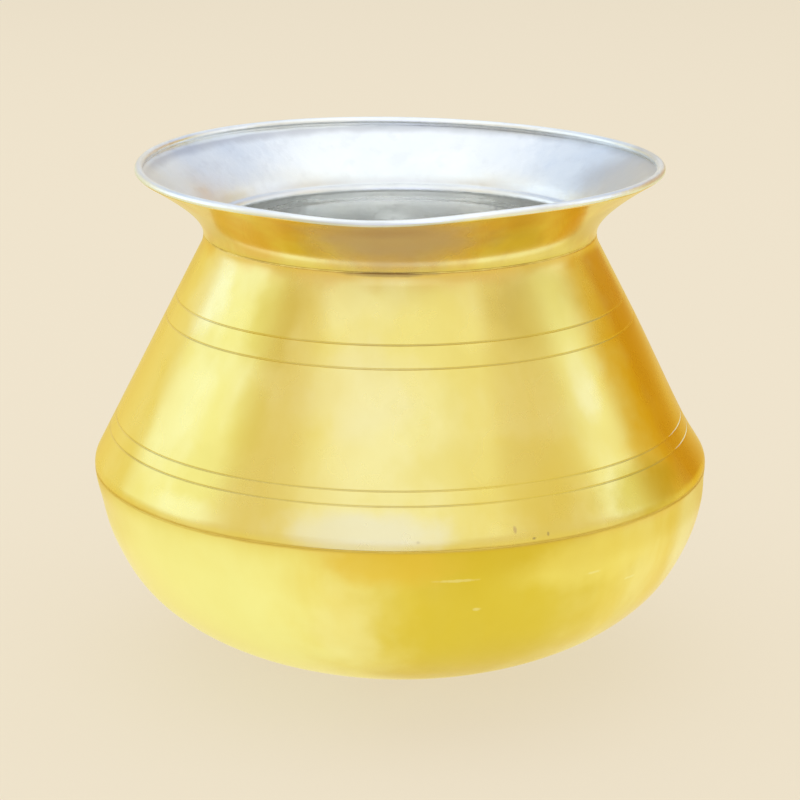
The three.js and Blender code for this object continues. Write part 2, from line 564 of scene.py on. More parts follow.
class EffectShop:
    """Builds each shared effect once, as a node group, and places it in materials."""

    patch_core: float = 0.35
    scuff_fade: float = 0.06
    speck_core: float = 0.5

    def __init__(self) -> None:
        """Starts with no groups."""
        self.groups: dict[Effect, bpy.types.NodeTree] = {}

    def place(self, link: Link, effect: Effect, **values: object) -> bpy.types.NodeSocket:
        """Puts an effect into a material.

        Args:
            link: The material's nodes.
            effect: The effect.
            values: Values or sockets for the group's inputs, with underscores for spaces.

        Returns:
            What the effect puts out.
        """
        if effect not in self.groups:
            self.groups[effect] = getattr(self, effect.value)()
        made = link.node("Group", node_tree=self.groups[effect])
        for name, value in values.items():
            link.feed(made.inputs[name.replace("_", " ")], value)
        return made.outputs[0]

    def start(
        self,
        name: str,
        inputs: dict[str, float],
        output: str = "Mask",
        places: dict[str, Vector] | None = None,
    ) -> tuple[Link, dict[str, bpy.types.NodeSocket], bpy.types.NodeSocket]:
        """Begins a node group.

        Args:
            name: The group's name.
            inputs: Its value inputs, with what they are by default.
            output: The name of its output.
            places: Its vector inputs, with what they are by default.

        Returns:
            The group's nodes, its inputs by name, and the socket that its output goes into.
        """
        tree = bpy.data.node_groups.new(name, "ShaderNodeTree")
        titles = [(title, "NodeSocketFloat", value) for title, value in inputs.items()]
        titles += [(title, "NodeSocketVector", value) for title, value in (places or {}).items()]
        for title, kind, value in titles:
            socket = tree.interface.new_socket(name=title, in_out="INPUT", socket_type=kind)
            socket.default_value = value
        tree.interface.new_socket(name=output, in_out="OUTPUT", socket_type="NodeSocketFloat")
        entry = tree.nodes.new("NodeGroupInput")
        leave = tree.nodes.new("NodeGroupOutput")
        return Link(tree), {s.name: s for s in entry.outputs}, leave.inputs[0]

    def ragged(
        self,
        link: Link,
        place: bpy.types.NodeSocket,
        given: dict[str, bpy.types.NodeSocket],
        away: bpy.types.NodeSocket,
    ) -> bpy.types.NodeSocket:
        """Makes a distance uneven, for a ragged edge.

        Args:
            link: The group's nodes.
            place: Where the point lies on the pot.
            given: The group's inputs, among them Size, Seed and Raggedness.
            away: The distance.

        Returns:
            The uneven distance.
        """
        wander = link.noise(link.shrunk(place, given["Size"]), given["Seed"], detail=3.0)
        return link.maths("MULTIPLY_ADD", link.maths("SUBTRACT", wander, 0.5), given["Raggedness"], away)

    def turning_marks(self) -> bpy.types.NodeTree:
        """Fine rings round the axis, as a lathe tool or a buffing wheel leaves them.

        Returns:
            The group.
        """
        link, given, leave = self.start(
            "turning marks", {"Spacing": 1.0, "Wander": 1.0, "Seed": 0.0}, "Relief"
        )
        at = PotPlace.read(link)
        turn = link.node("SeparateXYZ", {0: at.around})
        vector = link.node(
            "CombineXYZ",
            {
                0: link.maths("DIVIDE", at.radius, given["Spacing"]),
                1: link.maths("DIVIDE", at.height, given["Spacing"]),
                2: link.maths("MULTIPLY", turn.outputs[0], given["Wander"]),
            },
        ).outputs[0]
        seed = link.maths("MULTIPLY_ADD", turn.outputs[1], given["Wander"], given["Seed"])
        link.feed(leave, link.noise(vector, seed, detail=3.0, roughness=0.65))
        return link.tree

    def clouds(self) -> bpy.types.NodeTree:
        """Soft patches of one size, flattened or drawn out up the pot by the stretch.

        Returns:
            The group.
        """
        link, given, leave = self.start(
            "clouds", {"Size": 30.0, "Stretch": 1.0, "Low": 0.4, "High": 0.6, "Seed": 0.0}
        )
        at = PotPlace.read(link)
        parts = link.node("SeparateXYZ", {0: at.place})
        height = link.maths("DIVIDE", parts.outputs[2], given["Stretch"])
        place = link.node("CombineXYZ", {0: parts.outputs[0], 1: parts.outputs[1], 2: height}).outputs[0]
        value = link.noise(link.shrunk(place, given["Size"]), given["Seed"], detail=4.0, roughness=0.55)
        link.feed(leave, link.ramp(value, given["Low"], given["High"]))
        return link.tree

    def seam_band(self) -> bpy.types.NodeTree:
        """A band along a level seam, which fades above and below it with a ragged edge.

        Returns:
            The group.
        """
        link, given, leave = self.start(
            "seam band",
            {
                "Seam Height": 100.0,
                "Above": 4.0,
                "Below": 4.0,
                "Raggedness": 1.0,
                "Size": 12.0,
                "Seed": 0.0,
            },
        )
        at = PotPlace.read(link)
        rise = link.maths("SUBTRACT", at.height, given["Seam Height"])
        over = link.maths("DIVIDE", link.maths("MAXIMUM", rise, 0.0), given["Above"])
        under = link.maths("DIVIDE", link.maths("MINIMUM", rise, 0.0), given["Below"])
        ragged = self.ragged(link, at.place, given, link.maths("SUBTRACT", over, under))
        link.feed(leave, link.ramp(ragged, 0.0, 1.0, 1.0, 0.0))
        return link.tree

    def patch(self) -> bpy.types.NodeTree:
        """A soft patch round one place, as wide and tall as it is given, with a ragged edge.

        Returns:
            The group.
        """
        link, given, leave = self.start(
            "patch",
            {"Width": 20.0, "Tall": 10.0, "Raggedness": 0.6, "Size": 10.0, "Seed": 0.0},
            places={"Middle": Vector((0, -100, 100))},
        )
        at = PotPlace.read(link)
        away = link.node("SeparateXYZ", {0: link.vector("SUBTRACT", at.place, given["Middle"])})
        level = link.node("CombineXYZ", {0: away.outputs[0], 1: away.outputs[1]}).outputs[0]
        reach = link.node(
            "CombineXYZ",
            {
                0: link.maths("DIVIDE", link.vector("LENGTH", level), given["Width"]),
                1: link.maths("DIVIDE", away.outputs[2], given["Tall"]),
            },
        ).outputs[0]
        ragged = self.ragged(link, at.place, given, link.vector("LENGTH", reach))
        link.feed(leave, link.ramp(ragged, self.patch_core, 1.0, 1.0, 0.0))
        return link.tree

    def scuffs(self) -> bpy.types.NodeTree:
        """Short scuffs that lie level round the pot.

        Returns:
            The group.
        """
        link, given, leave = self.start(
            "scuffs", {"Length": 16.0, "Thickness": 1.0, "Rarity": 0.7, "Seed": 0.0}
        )
        at = PotPlace.read(link)
        rise = link.maths("DIVIDE", at.height, given["Thickness"])
        along = link.shrunk(at.level, given["Length"])
        place = link.vector("ADD", along, link.node("CombineXYZ", {2: rise}).outputs[0])
        value = link.noise(place, given["Seed"], detail=0.0)
        ends = given["Rarity"], link.maths("ADD", given["Rarity"], self.scuff_fade)
        link.feed(leave, link.ramp(value, *ends))
        return link.tree

    def specks(self) -> bpy.types.NodeTree:
        """Small round pits and specks, of which few cells hold one.

        Returns:
            The group.
        """
        link, given, leave = self.start("specks", {"Cell": 9.0, "Radius": 0.05, "Share": 0.2, "Seed": 0.0})
        at = PotPlace.read(link)
        cells = link.node(
            "TexVoronoi",
            {"Vector": link.shrunk(at.place, given["Cell"]), "W": given["Seed"], "Scale": 1.0},
            voronoi_dimensions="4D",
        )
        chance = link.node("SeparateColor", {0: cells.outputs["Color"]}).outputs[0]
        kept = link.maths("LESS_THAN", chance, given["Share"])
        core = link.maths("MULTIPLY", given["Radius"], self.speck_core)
        spot = link.ramp(cells.outputs["Distance"], core, given["Radius"], 1.0, 0.0)
        link.feed(leave, link.maths("MULTIPLY", spot, kept))
        return link.tree


EFFECTS = EffectShop()


SCUFF_SEED = 1.0
SPECK_SEED = 2.0
GRAIN_SEED = 3.0
DULL_SEED = 5.0
HAZE_SEED = 8.0


@dataclass(frozen=True)
class StainOrPaintedLight:
    """A patch of colour round one place of the surface, in millimetres: some are real stains, and some are
    painted highlights and painted shade.

    Its share is how far it colours the metal, and its film how far it hides the metal's shine.
    """

    middle: tuple[float, float, float]
    width: float
    tall: float
    colour: Colour
    share: float
    raggedness: float = 0.7
    size: float = 9.0
    seed: float = 0.0
    film: float = 0.0


@dataclass(frozen=True)
class SeamTint:
    """A tint along a level seam, which reaches some way above and below it, in millimetres."""

    height: float
    above: float
    below: float
    colour: Colour
    share: float
    raggedness: float = 1.0
    size: float = 12.0


@dataclass(frozen=True)
class MetalFinish:
    """A worked metal surface, with the marks that making and use leave on it, and with painted highlights
    and painted shade laid over it.
    """

    name: str
    pale: Colour
    rich: Colour
    dull: Colour
    roughness: float
    roughness_spread: float
    anisotropy: float
    cloud_size: float
    cloud_stretch: float = 1.0
    dull_share: float = 0.4
    dull_size: float = 38.0
    cloud_ends: tuple[float, float] = (0.36, 0.64)
    dull_ends: tuple[float, float] = (0.5, 0.68)
    haze_size: float = 26.0
    haze_ends: tuple[float, float] = (0.3, 0.7)
    ring_spacing: float = 1.4
    ring_wander: float = 1.2
    ring_relief: float = 0.006
    grain_size: float = 3.0
    grain_ends: tuple[float, float] = (0.25, 0.75)
    grain_relief: float = 0.004
    scuff_length: float = 14.0
    scuff_thickness: float = 0.9
    scuff_rarity: float = 0.84
    scuff_roughness: float = 0.04
    scuff_depth: float = 0.001
    speck_cell: float = 9.0
    speck_radius: float = 0.07
    speck_share: float = 0.04
    speck_darkness: float = 0.7
    speck_shade: float = 0.25
    coat: float = 0.0
    coat_roughness: float = 0.2
    edge_tint: Colour = (0.96, 0.84, 0.6)
    stains_and_painted_light: tuple[StainOrPaintedLight, ...] = ()
    tints: tuple[SeamTint, ...] = ()
    seed: float = 0.0

    def stain_and_painted_light_masks(self, link: Link) -> list[bpy.types.NodeSocket]:
        """Places the stains and the painted highlights and shade.

        Args:
            link: The material's nodes.

        Returns:
            Where each of them lies, in their order.
        """
        return [
            EFFECTS.place(
                link,
                Effect.PATCH,
                Middle=Vector(stain_or_painted_light.middle),
                Width=stain_or_painted_light.width,
                Tall=stain_or_painted_light.tall,
                Raggedness=stain_or_painted_light.raggedness,
                Size=stain_or_painted_light.size,
                Seed=stain_or_painted_light.seed,
            )
            for stain_or_painted_light in self.stains_and_painted_light
        ]

    def tint_mask(self, link: Link, tint: SeamTint) -> bpy.types.NodeSocket:
        """Places a tint.

        Args:
            link: The material's nodes.
            tint: The tint.

        Returns:
            Where it lies.
        """
        return EFFECTS.place(
            link,
            Effect.SEAM_BAND,
            Seam_Height=tint.height,
            Above=tint.above,
            Below=tint.below,
            Raggedness=tint.raggedness,
            Size=tint.size,
            Seed=self.seed + tint.height,
        )

    def clouds(
        self, link: Link, size: float, ends: tuple[float, float], step: float, stretch: float = 1.0
    ) -> bpy.types.NodeSocket:
        """Soft patches over the whole surface.

        Args:
            link: The material's nodes.
            size: How large the patches are, in millimetres.
            ends: The values of the noise where a patch begins and where it is full.
            step: What is added to the finish's seed.
            stretch: How far the patches are drawn out up the pot.

        Returns:
            Where they lie.
        """
        low, high = ends
        return EFFECTS.place(
            link, Effect.CLOUDS, Size=size, Stretch=stretch, Low=low, High=high, Seed=self.seed + step
        )

    def metallic(self, link: Link, masks: Sequence[bpy.types.NodeSocket]) -> bpy.types.NodeSocket | float:
        """How far the bare metal shows: all over, but for the patches that lie on it as a film.

        Args:
            link: The material's nodes.
            masks: Where each patch lies.

        Returns:
            The share of bare metal.
        """
        films = [(mask, stain_or_painted_light.film) for mask, stain_or_painted_light in zip(masks, self.stains_and_painted_light) if stain_or_painted_light.film]
        if not films:
            return 1.0
        covered: object = 0.0
        for mask, film in films:
            covered = link.maths("MULTIPLY_ADD", mask, film, covered)
        return link.maths("SUBTRACT", 1.0, covered, clamp=True)

    def colour(self, link: Link, masks: Sequence[bpy.types.NodeSocket]) -> bpy.types.NodeSocket:
        """The metal's colour, with its clouds, tints, stains, painted highlights and shade, and specks.

        Args:
            link: The material's nodes.
            masks: Where each patch lies.

        Returns:
            The colour.
        """
        cloudy = self.clouds(link, self.cloud_size, self.cloud_ends, 0.0, self.cloud_stretch)
        shade = link.mix(cloudy, self.rich, self.pale)
        dulled = self.clouds(link, self.dull_size, self.dull_ends, DULL_SEED)
        layers = [(dulled, self.dull_share, self.dull)]
        layers += [(self.tint_mask(link, tint), tint.share, tint.colour) for tint in self.tints]
        layers += [(mask, stain_or_painted_light.share, stain_or_painted_light.colour) for mask, stain_or_painted_light in zip(masks, self.stains_and_painted_light)]
        specks = EFFECTS.place(
            link,
            Effect.SPECKS,
            Cell=self.speck_cell,
            Radius=self.speck_radius,
            Share=self.speck_share,
            Seed=self.seed + SPECK_SEED,
        )
        layers.append((specks, self.speck_darkness, tuple(self.speck_shade * part for part in self.dull)))
        for mask, share, colour in layers:
            shade = link.mix(link.maths("MULTIPLY", mask, share), shade, colour)
        return shade

    def roughness_at(self, link: Link) -> bpy.types.NodeSocket | float:
        """The roughness without its haze and scuffs."""
        return self.roughness

    def scuffs(self, link: Link) -> bpy.types.NodeSocket:
        """Places the scuffs.

        Args:
            link: The material's nodes.

        Returns:
            Where they lie.
        """
        return EFFECTS.place(
            link,
            Effect.SCUFFS,
            Length=self.scuff_length,
            Thickness=self.scuff_thickness,
            Rarity=self.scuff_rarity,
            Seed=self.seed + SCUFF_SEED,
        )

    def material(self) -> bpy.types.Material:
        """Builds the material.

        Returns:
            The material, with all of its nodes.
        """
        made = bpy.data.materials.new(self.name)
        link = Link.cleared(made)
        rings = EFFECTS.place(
            link,
            Effect.TURNING_MARKS,
            Spacing=self.ring_spacing,
            Wander=self.ring_wander,
            Seed=self.seed,
        )
        grain = self.clouds(link, self.grain_size, self.grain_ends, GRAIN_SEED)
        scuffs = self.scuffs(link)
        haze = link.maths("SUBTRACT", self.clouds(link, self.haze_size, self.haze_ends, HAZE_SEED), 0.5)
        haze = link.maths("MULTIPLY", haze, self.roughness_spread)
        roughness = link.maths("ADD", haze, self.roughness_at(link))
        roughness = link.maths("MULTIPLY_ADD", scuffs, self.scuff_roughness, roughness, clamp=True)
        relief = link.maths("MULTIPLY", rings, self.ring_relief)
        relief = link.maths("MULTIPLY_ADD", grain, self.grain_relief, relief)
        relief = link.maths("MULTIPLY_ADD", scuffs, -self.scuff_depth, relief)
        bump = link.node("Bump", {"Strength": 1.0, "Distance": 1 / METRE, "Height": relief})
        tangent = link.node("Tangent", direction_type="RADIAL", axis="Z")
        masks = self.stain_and_painted_light_masks(link)
        surface = link.node(
            "BsdfPrincipled",
            {
                "Base Color": self.colour(link, masks),
                "Metallic": self.metallic(link, masks),
                "Roughness": roughness,
                "Anisotropic": self.anisotropy,
                "Anisotropic Rotation": QUARTER_TURN,
                "Specular Tint": self.edge_tint,
                "Coat Weight": self.coat,
                "Coat Roughness": self.coat_roughness,
                "Normal": bump.outputs["Normal"],
                "Tangent": tangent.outputs["Tangent"],
            },
        )
        link.node("OutputMaterial", {"Surface": surface.outputs[0]})
        return made


@dataclass(frozen=True)
class TinFinish(MetalFinish):
    """Wiped tin, which is smoother inside the pot, where it ran, than on the mouth."""

    smooth_roughness: float = 0.16
    smooth_below: float = 209.5
    wiped_above: float = 217.5
    bare: float = 0.72

    def metallic(self, link: Link, masks: Sequence[bpy.types.NodeSocket]) -> bpy.types.NodeSocket | float:
        """How far the bare tin shows: all of it on the mouth, and less inside the pot, where it is grey.

        Args:
            link: The material's nodes.
            masks: Where each stain lies.

        Returns:
            The share of bare tin.
        """
        height = PotPlace.read(link).height
        return link.ramp(height, self.smooth_below, self.wiped_above, self.bare, 1.0)

    def roughness_at(self, link: Link) -> bpy.types.NodeSocket | float:
        """The roughness, which rises towards the mouth."""
        height = PotPlace.read(link).height
        return link.ramp(height, self.smooth_below, self.wiped_above, self.smooth_roughness, self.roughness)


@dataclass(frozen=True)
class PotSizes:
    """The sizes that the pieces share, in millimetres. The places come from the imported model."""

    belly_radius: float
    shoulder_foot: float
    neck_radius: float
    collar_foot: float
    shoulder_top: float
    wire_radius: float
    roll_centre: Vector
    base_radius: float = 31.0
    bowl_wall: float = 1.4
    shoulder_wall: float = 1.2
    collar_wall: float = 0.9
    wire_gap: float = 0.1
    lap_gap: float = 0.1
    notch: float = 1.0
    braze_sink: float = 0.25
    braze_gap: float = 0.05
    tin_gap: float = 0.05
    tin_film: float = 0.2
    tin_corner: float = 0.5

    @classmethod
    def from_frame(cls) -> "PotSizes":
        """Reads the places of the seams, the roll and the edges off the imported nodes.

        Returns:
            The sizes, in millimetres.
        """
        shoulder_low, shoulder_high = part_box("upper_shoulder")
        collar_low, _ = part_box("mouth_collar")
        _, ring_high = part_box("neck_braze_ring")
        wire_low, wire_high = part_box("rim_wire")
        wire_radius = (wire_high.z - wire_low.z) / 2 * METRE
        return cls(
            belly_radius=shoulder_high.x * METRE,
            shoulder_foot=shoulder_low.z * METRE,
            neck_radius=ring_high.x * METRE + cls.braze_sink,
            collar_foot=collar_low.z * METRE,
            shoulder_top=shoulder_high.z * METRE,
            wire_radius=wire_radius,
            roll_centre=Vector((wire_high.x * METRE - wire_radius, wire_low.z * METRE + wire_radius)),
        )


@dataclass(frozen=True)
class Step:
    """Where a lower sheet steps in to go up inside the sheet above it."""

    foot: Vector
    top: Vector


class Piece:
    """One piece of the pot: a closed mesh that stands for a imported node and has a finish."""

    node: str = ""
    name: str = ""
    slot: str = ""

    @cached_property
    def section(self) -> Outline:
        """The piece's section, where it is the same all round."""
        raise NotImplementedError

    def section_at(self, angle: float) -> Outline:
        """The piece's section at an angle round the axis."""
        return self.section

    def finish(self) -> MetalFinish:
        """The piece's finish."""
        raise NotImplementedError

    def build(self, hand: HandWork) -> bpy.types.Object:
        """Makes the piece, dresses it and puts it in its node's place.

        Args:
            hand: How hand work moves each point.

        Returns:
            The piece.
        """
        piece = turned(self.name, self.section_at, hand)
        piece.data.materials.append(self.finish().material())
        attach(piece, BODY)
        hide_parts(self.node)
        LOG.info("%s: %d faces for %s", self.name, len(piece.data.polygons), self.node)
        return piece


BRASS_PALE: Colour = (0.91, 0.8, 0.32)
BRASS_RICH: Colour = (0.87, 0.73, 0.21)
BRASS_OLIVE: Colour = (0.78, 0.65, 0.15)
BRASS_ORANGE: Colour = (0.84, 0.52, 0.136)
BRASS_BROWN: Colour = (0.44, 0.28, 0.18)
FLUX_BROWN: Colour = (0.2, 0.13, 0.09)
LINE_BROWN: Colour = (0.5, 0.42, 0.23)
SCUFF_PALE: Colour = (0.97, 0.92, 0.5)


def flux_speck(
    middle: tuple[float, float, float], width: float, tall: float, share: float, seed: float
) -> StainOrPaintedLight:
    """A small dark speck of flux, as a stain of that place, size and strength."""
    return StainOrPaintedLight(middle, width, tall, FLUX_BROWN, share, size=2.0, seed=seed, film=0.5)


def pale_scuff(middle: tuple[float, float, float], width: float, tall: float, seed: float) -> StainOrPaintedLight:
    """A thin pale scuff that lies level, as a stain of that place and size."""
    return StainOrPaintedLight(middle, width, tall, SCUFF_PALE, 0.3, raggedness=1.2, size=3.0, seed=seed)


BELLY_BRAZE = StainOrPaintedLight(
    (0.0, -150.0, 102.1), 900.0, 1.5, (0.7, 0.5, 0.08), 0.68, raggedness=0.6, size=9.0, seed=35.0
)
NECK_STARVED = (math.radians(-94), math.radians(9), 0.45)
FLUX = StainOrPaintedLight((-6.0, -95.0, 214.8), 27.0, 1.7, FLUX_BROWN, 0.5, raggedness=0.9, seed=6.0, film=0.3)


@dataclass
class UpperShoulder(Piece):
    """The conical shoulder, from the belly seam to its edge inside the collar."""

    sizes: PotSizes
    node: str = "upper_shoulder"
    name: str = "shoulder"
    slot: str = "shoulder_brass"
    upright: float = 0.5
    belly_bend: float = 10.0
    neck_bend: float = 12.0
    line_width: float = 1.05
    line_depth: float = 0.3
    line_roundness: float = 0.7
    line_steps: int = 6
    lines_over_seam: tuple[float, ...] = (18.5, 24.6)
    lines_under_neck: tuple[float, ...] = (29.7, 39.5)
    edge_radius: float = 0.25
    outside_bends: float = 0.6
    outside_step: float = 2.4
    inside_bends: float = 2.0
    inside_step: float = 6.0

    def __post_init__(self) -> None:
        """Works out the bends, the lean of the straight between them and the step at the neck."""
        s = self.sizes
        self.foot = Vector((s.belly_radius, s.shoulder_foot))
        self.belly_centre = self.foot + Vector((-self.belly_bend, self.upright))
        seam = s.collar_foot - s.notch
        self.neck_centre = Vector((s.neck_radius + self.neck_bend, seam))
        across = self.neck_centre - self.belly_centre
        bends = self.belly_bend + self.neck_bend
        self.lean = math.atan2(across.y, across.x) - math.acos(bends / across.length)
        inner = s.neck_radius - s.collar_wall - s.lap_gap
        self.step = Step(Vector((s.neck_radius, seam)), Vector((inner, s.collar_foot - s.lap_gap)))

    def belly_stretch(self, fine: float) -> Outline:
        """The outline from the lower edge to the end of the bend at the belly."""
        return [self.foot, *arc(self.belly_centre, self.belly_bend, 0, self.lean, fine)]

    def neck_stretch(self, fine: float) -> Outline:
        """The outline from the start of the bend at the neck to the upper edge."""
        bend = arc(self.neck_centre, self.neck_bend, math.pi + self.lean, math.pi, fine)
        return [*bend, self.step.top, Vector((self.step.top.x, self.sizes.shoulder_top))]

    def outline(self, fine: float) -> Outline:
        """The plain outline, which the inside follows."""
        return self.belly_stretch(fine) + self.neck_stretch(fine)

    def incised_line(self, start: Vector, along: Vector, height: float) -> Outline:
        """A rounded notch in the straight.

        Args:
            start: Where the straight begins.
            along: The straight's direction.
            height: The height of the notch's middle.

        Returns:
            The notch's points, from the lowest up.
        """
        inner = leftward(along)
        middle = start + along * ((height - start.y) / along.y)
        cut = []
        for i in range(-self.line_steps, self.line_steps + 1):
            share = i / self.line_steps
            depth = self.line_depth * (0.5 + 0.5 * math.cos(math.pi * share)) ** self.line_roundness
            cut.append(middle + along * (share * self.line_width / 2) + inner * depth)
        return cut

    def line_heights(self) -> list[float]:
        """The heights of the incised lines, from the lowest up.

        Returns:
            The heights of their middles, in millimetres.
        """
        s = self.sizes
        seam = s.shoulder_foot - s.notch / 2
        neck_seam = s.collar_foot - s.notch / 2
        heights = [seam + rise for rise in self.lines_over_seam]
        return sorted(heights + [neck_seam - drop for drop in self.lines_under_neck])

    def outside(self) -> Outline:
        """The outside, with its incised lines.

        Returns:
            The points, from the lower edge to the upper one.
        """
        belly = self.belly_stretch(self.outside_bends)
        neck = self.neck_stretch(self.outside_bends)
        start = belly[-1]
        along = (neck[0] - start).normalized()
        lines = [p for height in self.line_heights() for p in self.incised_line(start, along, height)]
        return refined([*belly, *lines, *neck], self.outside_step)

    @cached_property
    def section(self) -> Outline:
        """The sheet's section.

        Returns:
            The section, which is closed on itself.
        """
        inside = inwards(self.outline(self.inside_bends), self.sizes.shoulder_wall)
        inside = refined(inside, self.inside_step)
        return eased([*self.outside(), *reversed(inside)], self.edge_radius, closed=True)

    def finish(self) -> MetalFinish:
        """Polished brass with soft vertical bands, oranger next to both seams, with painted highlights and
        painted darker reflections laid over it.

        Returns:
            The finish.
        """
        s = self.sizes
        return MetalFinish(
            name="shoulder_brass",
            pale=BRASS_PALE,
            rich=BRASS_RICH,
            dull=BRASS_OLIVE,
            roughness=0.29,
            roughness_spread=0.08,
            anisotropy=0.7,
            cloud_size=46.0,
            cloud_stretch=2.5,
            dull_share=0.25,
            coat=0.14,
            edge_tint=(0.96, 0.82, 0.42),
            tints=(
                SeamTint(s.collar_foot, 3.0, 10.0, BRASS_ORANGE, 0.5),
                SeamTint(s.shoulder_foot, 3.0, 2.0, BRASS_ORANGE, 0.12),
                *[
                    SeamTint(line, 0.6, 0.6, LINE_BROWN, 0.45, raggedness=0.6)
                    for line in self.line_heights()
                ],
            ),
            stains_and_painted_light=(
                # Painted darker reflection: a dim band high on the right.
                StainOrPaintedLight((62.0, -80.0, 196.0), 34.0, 25.0, (0.66, 0.52, 0.1), 0.6, size=18.0, seed=7.0),
                # Painted darker reflection: a dim band high on the left.
                StainOrPaintedLight((-58.0, -88.0, 190.0), 20.0, 40.0, (0.75, 0.59, 0.11), 0.75, size=14.0, seed=14.0),
                # Painted darker reflection: a dim band low on the left.
                StainOrPaintedLight((-69.0, -106.0, 152.0), 15.0, 48.0, (0.8, 0.65, 0.13), 0.6, size=12.0, seed=15.0),
                # Painted highlight: a cream patch on the front.
                StainOrPaintedLight((-18.0, -119.0, 166.0), 38.0, 28.0, (0.94, 0.86, 0.52), 0.32, size=14.0, seed=36.0),
                # Painted darker reflection: a richer patch low on the right front.
                StainOrPaintedLight((62.0, -122.0, 126.0), 50.0, 30.0, (0.84, 0.67, 0.11), 0.6, size=14.0, seed=37.0),
                # Painted highlight: a pale band high on the left.
                StainOrPaintedLight((-91.0, -52.0, 198.0), 22.0, 36.0, (0.96, 0.9, 0.54), 0.75, size=12.0, seed=24.0),
                # Painted highlight: a pale band on the left.
                StainOrPaintedLight((-105.0, -76.0, 148.0), 30.0, 45.0, (0.95, 0.87, 0.44), 0.45, size=14.0, seed=25.0),
                # Painted darker reflection: the dark orange of the right side.
                StainOrPaintedLight((128.0, -30.0, 152.0), 70.0, 170.0, (0.84, 0.56, 0.02), 0.95, size=18.0, seed=26.0),
                # Painted highlight: a pale streak on the right.
                StainOrPaintedLight((83.0, -86.0, 156.0), 11.0, 64.0, (0.96, 0.9, 0.54), 0.45, size=12.0, seed=16.0),
                # Painted darker reflection: a dimmer patch high on the right.
                StainOrPaintedLight((72.0, -86.0, 184.0), 28.0, 44.0, (0.82, 0.68, 0.17), 0.5, size=10.0, seed=40.0),
                # Painted highlight: a pale band down the left side.
                StainOrPaintedLight((-128.0, -30.0, 158.0), 44.0, 110.0, (0.97, 0.91, 0.54), 0.5, size=18.0, seed=39.0),
                flux_speck((8.0, -149.5, 106.5), 1.5, 1.1, 0.8, 27.0),
                flux_speck((59.5, -137.0, 104.5), 1.4, 0.9, 0.6, 28.0),
                flux_speck((66.0, -134.0, 105.5), 0.9, 1.4, 0.5, 29.0),
                StainOrPaintedLight((51.0, -139.0, 112.0), 1.2, 14.0, BRASS_BROWN, 0.5, size=4.0, seed=30.0),
                BELLY_BRAZE,
                # Painted darker reflection: a richer band on the front, over the two lower incised lines.
                StainOrPaintedLight((35.0, -125.0, 135.0), 50.0, 14.0, (0.85, 0.71, 0.2), 0.7, size=14.0, seed=8.0),
                # Painted highlight: a cream band on the front just over the belly seam, with a film so that
                # it takes white light.
                StainOrPaintedLight(
                    (-16.0, -148.0, 109.5),
                    48.0,
                    14.0,
                    (0.88, 0.83, 0.54),
                    0.9,
                    size=14.0,
                    seed=9.0,
                    film=0.55,
                ),
                # Painted highlight: a pale patch low on the left.
                StainOrPaintedLight((-98.0, -108.0, 108.0), 32.0, 9.0, (0.96, 0.87, 0.42), 0.45, size=12.0, seed=17.0),
                # Painted darker reflection: a richer patch low on the right.
                StainOrPaintedLight((112.0, -92.0, 112.0), 38.0, 17.0, (0.66, 0.5, 0.05), 0.75, size=12.0, seed=18.0),
                FLUX,
            ),
            seed=11.0,
        )


